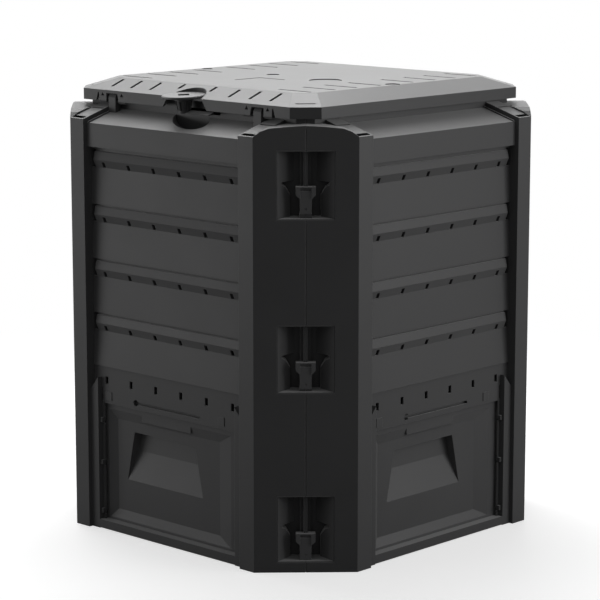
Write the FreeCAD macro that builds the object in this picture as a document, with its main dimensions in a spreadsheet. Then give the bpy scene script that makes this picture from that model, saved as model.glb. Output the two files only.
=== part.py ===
"""Square garden compost bin: four louvred walls clipped at the corners, a hatch in each wall,
a hinged lid with a turning latch.

Millimetres, +Z up, origin at the middle of the base. The front is -Y.
Each wall is modelled in its own frame: X along the wall, Y inwards from its front plane, Z up.
"""
import FreeCAD
import Part
import Sketcher
import os
import re

SIZES = {
    # Plan and walls
    "module": 719,               # side of the square base
    "front_flat": 465,           # flat front between two corner chamfers
    "post_width": 35.5,
    "post_depth": 40,
    "post_drop": 41,             # front edge of the sloping cap, below the rim
    "skin": 3.5,                 # moulded wall
    "thin": 3,                   # louvred field and hatch
    "seam_gap": 0.1,             # from a wall's edge to the corner's diagonal
    "seam_bevel": 1.4,
    "cap_rise": 0.3,             # slope of the cap and the ledge, rise over run
    "header_setback": 8,
    "ledge_drop": 48,            # front edge of the ledge, below the rim
    "header_high": 43,
    "rim_setback": 78,
    "rim_top": 800,
    "rim_cut": 16,               # rim's corner, cut along the diagonal
    "cap_slit_long": 40,
    "cap_slit_wide": 4,
    "cap_slit_setback": 51.5,
    "ledge_groove": 3,
    "ledge_rib": 3,
    "ledge_rib_high": 2.5,
    "ledge_groove_margin": 6,
    "shoulder_near": 12,         # corner's rounded top: runs from the post's edge, and rises
    "shoulder_near_up": 9,
    "shoulder_mid": 27,
    "shoulder_mid_up": 14.5,
    "shoulder_far": 61,
    "shoulder_far_up": 17.5,
    "shoulder_seam_up": 19,
    # Louvres
    "first_row_up": 70.5,        # lowest vents above the surround's top
    "top_row_down": 32.5,        # highest vents below the header
    "vent_pitch": 65.3,
    "vent_wide": 7.5,
    "vent_high": 10,
    "fin_thick": 2,              # fins beside the vents, behind the skin
    "fin_deep": 7,
    "board_back": 20.5,          # a board's top, behind the front plane
    "lip_out": 3,                # a board's bottom lip, before its top
    "awning_out": 6,             # outermost edge of the strip over the vents
    "surround_out": 2.5,
    "last_lip_out": 5,
    "lip_up": 27.5,              # lip above the vents
    "strip_up": 24,              # strip's top above the vents
    "strip_low": 9,              # strip's bottom above the vents
    "board_drop": 5,             # next board's top below the vents
    "end_hole": 9.5,
    "end_hole_margin": 0.5,
    # Surround of the hatch
    "door_top": 237,
    "door_bottom": 17,
    "surround_high": 69,
    "foot_gap": 2,               # the sill stays off the ground
    "slot_up": 43,               # places above the door's top
    "key_up": 12,
    "pad_up": 14,
    "strip_cut_up": 22,
    "strip_cut_high": 26,
    "notch_up": 29,
    "slot_wide": 7.5,
    "slot_high": 14,
    "key_hole": 12,
    "key_x": -86,
    "key_slit": 5.5,
    "key_end": 82,
    "pad_left": -158,
    "pad_right": 135,
    "pad_side": 16,
    "pad_high": 1.2,
    "strip_wide": 20,
    "strip_front": 8,
    "guide_room": 5,             # hatch front to the strip's back
    "notch_wide": 3,
    "lip_wide": 6,               # door frame's lip beside the strip
    "lip_hole": 6,
    "lip_hole_down": 4,          # below the nib's middle
    "nib_out": 5.5,
    "nib_high": 8,
    "nib_front": 12,
    "nib_back": 20,
    "nib_low": 16,               # nibs above the door's bottom
    "nib_mid": 108,
    "nib_top": 188,
    # Hatch
    "hatch_gap": 1,              # behind the boards' backs
    "hatch_side_gap": 2.5,
    "hatch_overlap": 20,         # the plate runs up behind the surround and its slit
    "hatch_travel": 190,
    "slide_gap": 0.5,
    "edge_gap": 1.5,
    "seat_gap": 0.3,
    "dish_margin": 9.5,          # panel left of the dish
    "dish_border": 22.5,         # panel right of the dish
    "dish_drop": 11,
    "dish_rise": 5,
    "dish_deep": 6,
    "bevel_left": 17,
    "bevel_right": 34,
    "bevel_top": 17.5,
    "bevel_low": 16,
    "grip_mid": -13.5,
    "grip_half": 64,
    "grip_high": 12,
    "scoop_mid": -24,
    "scoop_drop": 36,            # scoop's top, crease and bottom below the dish's top
    "scoop_crease": 74,
    "scoop_low": 128,
    "scoop_deep": 19,
    "scoop_mid_deep": 16,
    "scoop_top_half": 79,
    "scoop_low_half": 99,
    # Corner windows and clips
    "window_low": 77,            # centre of the lowest window
    "window_drop": 123,          # centre of the highest window below the rim
    "window_high": 115,
    "window_half": 50,
    "window_deep": 45,
    "window_root": 19.5,         # half width at the back
    "window_edge": 2.5,          # bevel over and under the window
    "horn_out": 41,              # notch in the window's side: its tip, then its waist
    "horn_up": 4,
    "horn_tip": 5,
    "horn_knee": 34,
    "horn_knee_down": 6,
    "horn_waist": 26.5,
    "horn_waist_down": 20,
    "pilaster_half": 9,
    "pilaster_front": 30,
    "rail_front": 15,
    "tee_half": 7,
    "tee_thick": 3,
    "web_half": 3.4,
    "clip_gap": 0.2,
    "seat_low": 1,
    "seat_mid": 4,
    "seat_top": 7.5,
    "clip_high": 46.5,
    "clip_low_half": 9.7,
    "clip_waist_half": 10.4,
    "clip_waist": 26,
    "ear_half": 17,
    "ear_low": 32.5,
    "ear_inner": 9.5,
    "ear_out": 2.5,
    "ear_bar": 2,
    "ear_slot_high": 6,
    "ear_slot_deep": 3,
    "clip_front": 10,
    "clip_back": 25,
    "dot": 4,
    "dot_deep": 1,
    "dot_level": 8,
    # Lid
    "lid_overlap": 18.5,         # lid's edge beyond the rim
    "lid_leg": 38,               # corner chamfer, along each side
    "skirt_drop": 13,            # skirt's bottom below the rim
    "skirt_high": 20,
    "crown_high": 19,            # rise of the sloping border
    "border_wide": 50,
    "flat_leg": 30,
    "rest_gap": 0.3,
    "slot": 6.5,
    "border_slot_out": 15,       # slot ends from the lid's edge
    "border_slot_in": 44,
    "border_slot_1": 100,
    "border_slot_2": 151,
    "border_slot_3": 201,
    "short_slot_x": 40,
    "short_slot_out": 28.5,
    "short_slot_in": 46,
    "side_slot_out": 12,         # slot ends from the flat top's edge
    "side_slot_in": 89,
    "side_slot_1": 44,
    "side_slot_2": 106,
    "side_slot_3": 162,
    "side_slot_4": 222,
    "field_side": 66,
    "field_x": 4,
    "field_y": -110,
    "field_deep": 0.6,
    "lens": 60,
    "lens_x": 98,
    "lens_y": -36,
    "lens_deep": 1.5,
    "spot": 25,
    "spot_x": -55,
    "spot_y": -15,
    "thumb": 28,
    "thumb_in": 12,
    "thumb_y": -12,
    # Hinges
    "pin": 6,
    "pin_fit": 0.05,             # pin in the wall's block
    "hook_fit": 0.1,             # hook on the pin at the hinge side
    "free_fit": 0.7,             # hook over the pin at the latch side
    "hinge_in": 6,               # pin behind the skirt's face
    "hinge_up": 1.5,             # pin above the skirt's bottom
    "block_in": 175.5,
    "block_out": 194,
    "block_deep": 12,
    "block_high": 12.5,          # above the skirt's bottom
    "block_bevel": 2.5,
    "hook_in": 150,
    "hook_out": 168,
    "far_hook_in": 200,
    "far_hook_out": 220,
    "notch_in": 171,
    "notch_out": 223,
    "notch_flare": 6,
    "notch_high": 14.5,
    "hook_hole": 8,
    "hook_hole_low": 9.5,
    "hook_hole_top": 16,
    # Latch
    "latch_x": 5,
    "latch_out": 1.5,            # axis before the lid's edge
    "latch_up": 3,               # disc's origin above the skirt's top
    "latch_tilt": 3,
    "disc": 78,
    "disc_up": 2,
    "disc_thick": 4,
    "disc_round": 1.2,
    "square": 19.5,
    "peg": 18.5,
    "square_turn": 45,
    "peg_low": 1,                # peg's top below the disc's origin
    "latch_gap": 1.5,
    "spindle": 27,
    "spindle_fit": 0.1,
    "barrel_top": 30,
    "barrel_low": 24,
    "barrel_high": 17,
    "barrel_rib": 2.5,
    "barrel_rib_wide": 6,
    "tongue_reach": 67,
    "tongue_wide": 14,
    "tongue_thick": 4.5,
    "tongue_lip": 1,             # thickness of the tongue's front edge
    "tongue_hub": 22,
    "tongue_rise": 1,            # the tilted tongue's rise on its way to the rim
    "tongue_room": 4.5,          # half the height of the rim's slot
    "cup": 81,
    "bearing": 36,
    "funnel_top": 45,
    "funnel_low": 58,
    "bowl_x": 18.5,              # finger bowl in the ledge: a dent, wider than deep
    "bowl_setback": 62.8,
    "bowl_wide": 64.5,           # its three half axes
    "bowl_narrow": 31.4,
    "bowl_deep": 24,
    "bowl_turn": -33,
}
ROWS = 4
VENTS_PER_SIDE = 3
BARREL_RIBS = 8

# Places that follow from the sizes: the wall
HALF = "(module / 2)"
POST_OUT = "(front_flat / 2)"
POST_IN = "(front_flat / 2 - post_width)"
SEAM = "((module - front_flat) / 4)"
CHAMFER = "((module - front_flat) / 4 * sqrt(2))"
POST_TOP = "(rim_top - post_drop)"
LEDGE_FRONT = "(rim_top - ledge_drop)"
HEADER_LOW = "(rim_top - ledge_drop - header_high)"
RIM_ROOT = f"({LEDGE_FRONT} + cap_rise * (rim_setback - header_setback) - 3 * skin)"
RIM_CORNER = f"(({HALF} - rim_setback) * sqrt(2) - rim_cut)"
POCKET_DEEP = "(window_deep + skin)"
WINDOWS = {"low": "window_low", "mid": "((window_low + rim_top - window_drop) / 2)",
           "top": "(rim_top - window_drop)"}

# Louvres and surround
BOARD_LIP = "(board_back - lip_out)"
AWNING = "(board_back - awning_out)"
SURROUND_BACK = "(board_back - surround_out)"
LAST_LIP = "(board_back - last_lip_out)"
SURROUND_TOP = "(door_top + surround_high)"
ROW_FIRST = f"({SURROUND_TOP} + first_row_up)"
ROW_PITCH = f"(({HEADER_LOW} - top_row_down - {ROW_FIRST}) / {ROWS - 1})"
STRIP_INNER = f"({POST_IN} - strip_wide)"
NIBS = {"low": "(door_bottom + nib_low)", "mid": "(door_bottom + nib_mid)", "top": "(door_bottom + nib_top)"}

# Hatch and its guides
HATCH_FRONT = "(board_back + thin + hatch_gap)"
GUIDE_BACK = f"({HATCH_FRONT} + guide_room)"
FLANGE_FRONT = f"({GUIDE_BACK} + slide_gap)"
FLANGE_BACK = f"({GUIDE_BACK} + slide_gap + thin)"
RAIL_FRONT = f"({GUIDE_BACK} + 2 * slide_gap + thin)"
HATCH_LOW = "(door_bottom + seat_gap)"
HATCH_TOP = "(door_top + hatch_overlap)"
RAIL_TOP = f"({HATCH_TOP} + hatch_travel + guide_room)"
HATCH_HALF = f"({STRIP_INNER} - hatch_side_gap)"
DISH_TOP = "(door_top - dish_drop)"
DISH_LOW = "(door_bottom + dish_rise)"

# Lid and latch
LID_HALF = f"({HALF} - rim_setback + lid_overlap)"
LID_LOW = "(rim_top - skirt_drop)"
LID_EDGE = "(rim_top - skirt_drop + skirt_high)"
LID_TOP = "(rim_top - skirt_drop + skirt_high + crown_high)"
FLAT_HALF = f"({LID_HALF} - border_wide)"
HINGE_Y = f"({LID_HALF} - hinge_in)"
HINGE_Z = f"({LID_LOW} + hinge_up)"
NOTCH_TOP = f"({LID_LOW} + notch_high)"
LATCH_Y = f"(-({LID_HALF} + latch_out))"
LATCH_Z = f"({LID_EDGE} + latch_up)"
FLOOR_TOP = "(disc_up - disc_thick - latch_gap)"
FLOOR_LOW = "(disc_up - disc_thick - latch_gap - skin)"
BARREL_TOP = "(disc_up - disc_thick - 2 * latch_gap - skin)"
BARREL_LOW = "(disc_up - disc_thick - 2 * latch_gap - skin - barrel_high)"
CLEAR = 60                       # how far a cutter runs past what it cuts

# Walls that lean are thicker along the axes than straight through: so many skins or thins
POCKET_FRONT = 1.5
POCKET_BACK = 1.25
STRIP_SIDE = 1.5
STRIP_INSIDE = 2.5
ROOF_EDGE = 0.7
RING_UP = 1.5                    # the ring reaches so many skins above the skirt

doc = FreeCAD.newDocument("compost_bin")


def make_sheet():
    """The driving dimensions, one row each: its name, and its value under that alias."""
    sizes = doc.addObject("Spreadsheet::Sheet", "Sizes")
    for row, (alias, number) in enumerate(SIZES.items(), start=1):
        sizes.set(f"A{row}", alias)
        sizes.set(f"B{row}", str(number))
        sizes.setAlias(f"B{row}", alias)
    doc.recompute()
    return sizes


sheet = make_sheet()


def cells(text):
    """The expression with each alias written as its cell of the sheet."""
    def cell(word):
        return f"Sizes.{word[0]}" if word[0] in SIZES else word[0]
    return re.sub(r"[a-z][a-z_0-9]*", cell, str(text))


def value(text):
    """The number that an expression gives now."""
    return float(sheet.evalExpression(cells(text)))


def bind(thing, prop, text):
    thing.setExpression(prop, cells(text))


def move(thing, x=0, y=0, z=0, axis=(0, 0, 1), angle=0):
    """Turns a thing about an axis through its own origin, then moves it."""
    turn = FreeCAD.Rotation(FreeCAD.Vector(*axis), value(angle))
    thing.Placement = FreeCAD.Placement(FreeCAD.Vector(value(x), value(y), value(z)), turn)
    for prop, text in (("x", x), ("y", y), ("z", z)):
        bind(thing, f"Placement.Base.{prop}", text)
    if axis != (0, 0, 1) or angle:
        bind(thing, "Placement.Rotation.Angle", angle)
    return thing


def box(name, x, y, z):
    """A block between two places on each axis."""
    block = doc.addObject("Part::Box", name)
    for prop, span in (("Length", x), ("Width", y), ("Height", z)):
        bind(block, prop, f"({span[1]}) - ({span[0]})")
    return move(block, x[0], y[0], z[0])


def rod(name, width, place, span, along="z"):
    """A round bar of a given diameter along an axis, through a place across that axis."""
    bar = doc.addObject("Part::Cylinder", name)
    bind(bar, "Radius", f"({width}) / 2")
    bind(bar, "Height", f"({span[1]}) - ({span[0]})")
    if along == "x":
        return move(bar, span[0], place[0], place[1], (0, 1, 0), 90)
    if along == "y":
        return move(bar, place[0], span[0], place[1], (1, 0, 0), -90)
    return move(bar, place[0], place[1], span[0])


def cone(name, low, top, span):
    """A cone on the Z axis, by its lower and upper diameters."""
    taper = doc.addObject("Part::Cone", name)
    bind(taper, "Radius1", f"({low}) / 2")
    bind(taper, "Radius2", f"({top}) / 2")
    bind(taper, "Height", f"({span[1]}) - ({span[0]})")
    return move(taper, 0, 0, span[0])


def outline(sketch, corners):
    """A closed polygon, each corner held by its two distances from the sketch's origin."""
    places = [FreeCAD.Vector(value(x), value(y), 0) for x, y in corners]
    count = len(places)
    for index, start in enumerate(places):
        end = places[(index + 1) % count]
        sketch.addGeometry(Part.LineSegment(start, end), False)
    for index in range(count):
        sketch.addConstraint(Sketcher.Constraint("Coincident", index, 2, (index + 1) % count, 1))
    for index, (x, y) in enumerate(corners):
        for kind, text, number in (("DistanceX", x, places[index].x),
                                   ("DistanceY", y, places[index].y)):
            held = sketch.addConstraint(Sketcher.Constraint(kind, -1, 1, index, 1, number))
            if re.search("[a-z]", str(text)):
                bind(sketch, f"Constraints[{held}]", text)


def prism(name, plane, corners, span):
    """A polygon in an origin plane (XY, XZ or YZ), padded across it over a span."""
    body = doc.addObject("PartDesign::Body", name)
    sketch = body.newObject("Sketcher::SketchObject", f"{name}_outline")
    role = f"{plane}_Plane"
    base = next(item for item in body.Origin.OriginFeatures if item.Role == role)
    sketch.AttachmentSupport = [(base, "")]
    sketch.MapMode = "FlatFace"
    start = f"-({span[1]})" if plane == "XZ" else span[0]
    bind(sketch, "AttachmentOffset.Base.z", start)
    outline(sketch, corners)
    pad = body.newObject("PartDesign::Pad", f"{name}_pad")
    pad.Profile = sketch
    bind(pad, "Length", f"({span[1]}) - ({span[0]})")
    sketch.Visibility = False
    return body


def frustum(name, x, y, z, x_end, z_end):
    """A block along Y whose far rectangle differs from its near one."""
    block = doc.addObject("Part::Wedge", name)
    ends = {"Xmin": x[0], "Xmax": x[1], "Ymin": y[0], "Ymax": y[1], "Zmin": z[0], "Zmax": z[1],
            "X2min": x_end[0], "X2max": x_end[1], "Z2min": z_end[0], "Z2max": z_end[1]}
    for prop, text in ends.items():
        setattr(block, prop, value(text))
    for prop, text in ends.items():
        bind(block, prop, text)
    return block


def fuse(name, *things):
    joined = doc.addObject("Part::MultiFuse", name)
    joined.Shapes = list(things)
    joined.Refine = True
    return joined


def cut(name, base, *tools):
    carved = doc.addObject("Part::Cut", name)
    carved.Base = base
    carved.Tool = tools[0] if len(tools) == 1 else fuse(f"{name}_tools", *tools)
    carved.Refine = True
    return carved


def common(name, first, second):
    shared = doc.addObject("Part::Common", name)
    shared.Base = first
    shared.Tool = second
    return shared


def mirrored(name, source):
    """The same shape on the other side of X = 0."""
    twin = doc.addObject("Part::Mirroring", name)
    twin.Source = source
    twin.Normal = FreeCAD.Vector(1, 0, 0)
    return twin


def copy(name, source):
    """The same shape again, to be placed elsewhere."""
    again = doc.addObject("Part::Compound", name)
    again.Links = [source]
    return again


def at_corner(thing):
    """A thing of the corner's frame, put at the wall's right corner."""
    return move(thing, f"{HALF} - {SEAM}", SEAM, "0", (0, 0, 1), 45)


def on_side(side, near, far):
    """A span along X, or its mirror image for side -1."""
    return (near, far) if side > 0 else (f"-({far})", f"-({near})")


def above(name, low, foot, x_span):
    """Everything above a plane that rises inwards from a foot height at a setback."""
    far = "(module / 4)"
    rise = f"({foot}) + cap_rise * ({far} - ({low}))"
    start = f"({foot}) - cap_rise * {CLEAR}"
    return prism(name, "YZ", [(f"({low}) - {CLEAR}", start), (far, rise),
                              (far, f"rim_top + {CLEAR}"), (f"({low}) - {CLEAR}", f"rim_top + {CLEAR}")],
                 x_span)


def sheet_along(name, low, foot, far, x_span, up="0", down="skin"):
    """A sloping sheet between two setbacks, its top rising inwards."""
    rise = f"({foot}) + cap_rise * (({far}) - ({low}))"
    return prism(name, "YZ", [(low, f"({foot}) - ({down})"), (far, f"{rise} - ({down})"),
                              (far, f"{rise} + ({up})"), (low, f"({foot}) + ({up})")], x_span)


def row_level(row):
    return f"({ROW_FIRST} + {row} * {ROW_PITCH})"


def field():
    """The louvred front of half a wall: boards that lean out, each over a strip and its vents."""
    top = row_level(ROWS - 1)
    outer = [("header_setback", LEDGE_FRONT), ("header_setback", HEADER_LOW),
             ("board_back", HEADER_LOW), ("board_back", f"{top} + strip_up")]
    inner = [("header_setback + thin", LEDGE_FRONT), ("header_setback + thin", f"{HEADER_LOW} + thin"),
             ("board_back + thin", f"{HEADER_LOW} + thin"), ("board_back + thin", f"{top} + strip_up - thin")]
    for row in reversed(range(ROWS)):
        vent = row_level(row)
        if row < ROWS - 1:
            outer += [(BOARD_LIP, f"{vent} + lip_up"), ("board_back", f"{vent} + lip_up"),
                      ("board_back", f"{vent} + strip_up")]
            inner += [(f"{BOARD_LIP} + thin", f"{vent} + lip_up + thin"),
                      ("board_back + thin", f"{vent} + lip_up + thin"),
                      ("board_back + thin", f"{vent} + strip_up - thin")]
        outer += [(BOARD_LIP, f"{vent} + strip_up"), (AWNING, f"{vent} + strip_low"),
                  ("board_back", f"{vent} - board_drop")]
        inner += [(f"{BOARD_LIP} + thin", f"{vent} + strip_up - thin"),
                  (f"{AWNING} + thin", f"{vent} + strip_low"),
                  ("board_back + thin", f"{vent} - board_drop")]
    outer += [(LAST_LIP, SURROUND_TOP), (SURROUND_BACK, SURROUND_TOP), (SURROUND_BACK, "door_top")]
    inner += [(f"{LAST_LIP} + thin", f"{SURROUND_TOP} + thin"),
              (f"{SURROUND_BACK} + thin", f"{SURROUND_TOP} + thin"),
              (f"{SURROUND_BACK} + thin", "door_top")]
    return prism("field", "YZ", outer + inner[::-1], ("0", f"{POST_IN} + skin / 2"))


def vent_cuts():
    """Vents, the deep hole at each strip's end, and the slots over the hatch."""
    through = ("0", GUIDE_BACK)
    cuts = []
    for row in range(ROWS):
        level = row_level(row)
        for number in range(VENTS_PER_SIDE):
            middle = f"vent_pitch * {number + 0.5}"
            cuts.append(box(f"vent_{row}_{number}",
                            (f"{middle} - vent_wide / 2", f"{middle} + vent_wide / 2"), through,
                            (f"{level} - vent_high / 2", f"{level} + vent_high / 2")))
        side = f"{POST_IN} - end_hole_margin"
        cuts.append(box(f"end_hole_{row}", (f"{side} - end_hole", side), through,
                        (f"{level} - board_drop", f"{level} + lip_up")))
    slot_level = "(door_top + slot_up)"
    for number in range(VENTS_PER_SIDE):
        middle = f"vent_pitch * {number + 0.5}"
        cuts.append(box(f"slot_{number}", (f"{middle} - slot_wide / 2", f"{middle} + slot_wide / 2"),
                        through, (f"{slot_level} - slot_high / 2", f"{slot_level} + slot_high / 2")))
    cuts.append(box("door_notch", (f"{STRIP_INNER} - notch_wide", STRIP_INNER), through,
                    (f"door_top - {CLEAR}", "door_top + notch_up")))
    return cuts


def fins():
    """Fins behind all but the lowest vents, so that nobody looks slantwise through the bin."""
    back = "(board_back + thin + fin_deep)"
    parts = []
    for row in range(1, ROWS):
        low = f"{row_level(row)} - board_drop"
        top = f"{row_level(row)} + strip_low"
        bars = []
        for number in range(VENTS_PER_SIDE):
            for side, mark in ((-1, "left"), (1, "right")):
                middle = f"vent_pitch * {number + 0.5}"
                edge = on_side(side, "vent_wide / 2", "vent_wide / 2 + fin_thick")
                x = (f"{middle} + {edge[0]}", f"{middle} + {edge[1]}")
                bars.append(box(f"fin_{row}_{number}_{mark}", x, ("0", back), (low, top)))
        run = prism(f"fin_run_{row}", "YZ", [(f"{AWNING} + thin / 2", top), ("board_back + thin / 2", low),
                                             (back, low), (back, top)], ("0", POST_IN))
        parts.append(common(f"fins_{row}", run, fuse(f"fin_bars_{row}", *bars)))
    return parts


def strip_and_rails():
    """The hollow guide strip beside the hatch, its nibs, and the rail behind the hatch's flange."""
    side = f"{POST_IN} + skin / 2"
    low_cut = "(door_top + strip_cut_up)"
    high_cut = "(door_top + strip_cut_up + strip_cut_high)"
    body = prism("strip_body", "XZ", [(STRIP_INNER, "0"), (side, "0"), (side, low_cut),
                                      (STRIP_INNER, high_cut)], ("strip_front", GUIDE_BACK))
    hollow = prism("strip_hollow", "XZ",
                   [(f"{STRIP_INNER} + thin", f"-{CLEAR}"), (POST_IN, f"-{CLEAR}"),
                    (POST_IN, f"{low_cut} - {STRIP_SIDE} * thin"),
                    (f"{STRIP_INNER} + thin", f"{high_cut} - {STRIP_INSIDE} * thin")],
                   ("strip_front + thin", f"{GUIDE_BACK} - thin"))
    lip = box("frame_lip", (f"{STRIP_INNER} - lip_wide", f"{STRIP_INNER} + thin / 2"),
              (SURROUND_BACK, f"{SURROUND_BACK} + thin"), ("door_bottom - skin", "door_top + thin"))
    holes = [box(f"lip_hole_{name}", (f"{STRIP_INNER} - lip_wide - thin", f"{STRIP_INNER} - 1"),
                 (f"{SURROUND_BACK} - thin", f"{SURROUND_BACK} + 2 * thin"),
                 (f"{level} - lip_hole_down - lip_hole / 2", f"{level} - lip_hole_down + lip_hole / 2"))
             for name, level in NIBS.items()]
    parts = [cut("strip", body, hollow), cut("lip", lip, *holes)]
    for name, level in NIBS.items():
        parts.append(box(f"nib_{name}_block", (f"{STRIP_INNER} - nib_out", f"{STRIP_INNER} + thin / 2"),
                         ("nib_front", "nib_back"), (f"{level} - nib_high / 2", f"{level} + nib_high / 2")))
    parts.append(box("rail", (STRIP_INNER, side), (RAIL_FRONT, f"{RAIL_FRONT} + thin"),
                     ("door_bottom - skin", RAIL_TOP)))
    parts.append(box("sill_front", ("0", f"{STRIP_INNER} + thin / 2"), ("strip_front", "strip_front + thin"),
                     ("foot_gap", "door_bottom")))
    parts.append(box("sill_shelf", ("0", f"{STRIP_INNER} + thin / 2"),
                     ("strip_front", f"{RAIL_FRONT} + thin"), ("door_bottom - skin", "door_bottom")))
    parts.append(box("sill_shelf_end", (STRIP_INNER, side), (f"{GUIDE_BACK} - thin", f"{RAIL_FRONT} + thin"),
                     ("door_bottom - skin", "door_bottom")))
    return parts


def window(name, level):
    """One corner window: its pocket, what is cut from it, and the rails that hold the clip."""
    low = f"({level} - window_high / 2)"
    top = f"({level} + window_high / 2)"
    pocket = prism(f"pocket_{name}", "XY",
                   [(f"-window_half - {POCKET_FRONT} * skin", "0"), ("-seam_gap", "0"),
                    ("-seam_gap", POCKET_DEEP), (f"-window_root - {POCKET_BACK} * skin", POCKET_DEEP)],
                   (f"{low} - skin", f"{top} + skin"))
    hole = prism(f"window_{name}_hole", "XY",
                 [("-window_half", f"-{CLEAR}"), (CLEAR, f"-{CLEAR}"), (CLEAR, "window_deep"),
                  ("-window_root", "window_deep"), ("-window_half", "0")], (low, top))
    root = "(-window_root + skin / 2)"
    horn = prism(f"horn_{name}", "XZ",
                 [(root, f"{level} + horn_up"), ("-horn_out", f"{level} + horn_up"),
                  ("-horn_out", f"{level} + horn_up - horn_tip"), ("-horn_knee", f"{level} - horn_knee_down"),
                  ("-horn_waist", f"{level} - horn_waist_down"), ("-horn_waist", low), (root, low)],
                 ("skin", "window_deep"))
    behind = prism(f"horn_{name}_wall", "XZ",
                   [(root, f"{level} + horn_up + skin"), ("-horn_out - skin", f"{level} + horn_up + skin"),
                    ("-horn_out - skin", f"{level} + horn_up - horn_tip - skin"),
                    ("-horn_knee - skin", f"{level} - horn_knee_down - skin"),
                    ("-horn_waist - skin", f"{level} - horn_waist_down - skin"),
                    ("-horn_waist - skin", f"{low} - skin"), (root, f"{low} - skin")],
                   ("skin / 2", POCKET_DEEP))
    bevel = prism(f"bevel_{name}", "YZ",
                  [("-skin", f"{low} - window_edge - skin"), ("window_edge", low), ("window_edge", top),
                   ("-skin", f"{top} + window_edge + skin")], ("-window_half", f"{CLEAR}"))
    pilaster = box(f"pilaster_{name}", ("-pilaster_half", "-seam_gap"),
                   ("pilaster_front", "window_deep + skin / 2"),
                   (f"{low} - skin / 2", f"{top} + skin / 2"))
    web = box(f"web_{name}", ("-web_half", "-seam_gap"), ("rail_front", "window_deep + skin / 2"),
              (f"{low} - skin / 2", f"{top} + skin / 2"))
    tee = box(f"tee_{name}", ("-tee_half", "-seam_gap"), ("rail_front", "rail_front + tee_thick"),
              (f"{low} - skin / 2", f"{low} + seat_{name} + clip_high - skin - clip_gap"))
    seat = box(f"seat_{name}_block", ("-tee_half - skin", "-seam_gap"),
               ("rail_front - skin", "window_deep + skin / 2"), (f"{low} - skin / 2", f"{low} + seat_{name}"))
    return (pocket, behind), (hole, horn, bevel), (pilaster, web, tee, seat)


def shoulder(down="0"):
    """Points of the corner's rounded top, from the post's edge to the seam, or as much lower."""
    runs = [("0", "0"), ("shoulder_near", "shoulder_near_up"), ("shoulder_mid", "shoulder_mid_up"),
            ("shoulder_far", "shoulder_far_up")]
    points = [(f"-{CHAMFER} + {run}", f"{POST_TOP} + {up} - {down}") for run, up in runs]
    return points + [("-seam_gap", f"{POST_TOP} + shoulder_seam_up - {down}")]


def corner():
    """The chamfered half corner and its windows: X towards the seam, Y inwards from the chamfer."""
    solid = [box("chamfer_skin", (f"-{CHAMFER}", "-seam_gap"), ("0", "skin"), ("0", "rim_top")),
             box("seam_flange", ("-skin", "-seam_gap"), ("0", POCKET_DEEP), ("0", "rim_top"))]
    holes = []
    rails = []
    for name, level in WINDOWS.items():
        pocket, cuts, supports = window(name, level)
        solid += pocket
        holes += cuts
        rails += supports
    holes.append(prism("seam_groove", "XY", [("-seam_bevel - skin", "-skin"), ("skin", "-skin"),
                                             ("skin", "seam_bevel + skin")], ("0", "rim_top")))
    shell = cut("corner_shell", fuse("corner_solid", *solid), *holes)
    over = [(f"-{CHAMFER} - skin", POST_TOP)] + shoulder()
    over += [("skin", f"{POST_TOP} + shoulder_seam_up"), ("skin", f"rim_top + {CLEAR}"),
             (f"-{CHAMFER} - skin", f"rim_top + {CLEAR}")]
    trim = prism("above_corner", "XZ", over, (f"-{CLEAR}", f"{POCKET_DEEP} + {CLEAR}"))
    return at_corner(fuse("corner", cut("corner_trimmed", shell, trim), *rails))


def rim_points():
    """The rim's corner in plan: where its straight run ends and where it meets the diagonal."""
    corner_x = f"({RIM_CORNER} * sqrt(2) - {HALF} + rim_setback)"
    inner_x = f"(({RIM_CORNER} - skin) * sqrt(2) - {HALF} + rim_setback + skin)"
    meet = f"({RIM_CORNER} / sqrt(2))"
    inner_meet = f"(({RIM_CORNER} - skin) / sqrt(2))"
    return corner_x, inner_x, meet, inner_meet


def rim():
    """The rim that carries the lid, over half a wall."""
    corner_x, inner_x, meet, inner_meet = rim_points()
    return prism("rim", "XY", [("0", "rim_setback"), (corner_x, "rim_setback"),
                               (f"{meet} - seam_gap", f"{HALF} - {meet} - seam_gap"),
                               (f"{inner_meet} - seam_gap", f"{HALF} - {inner_meet} - seam_gap"),
                               (inner_x, "rim_setback + skin"), ("0", "rim_setback + skin")],
                 (RIM_ROOT, "rim_top"))


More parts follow.
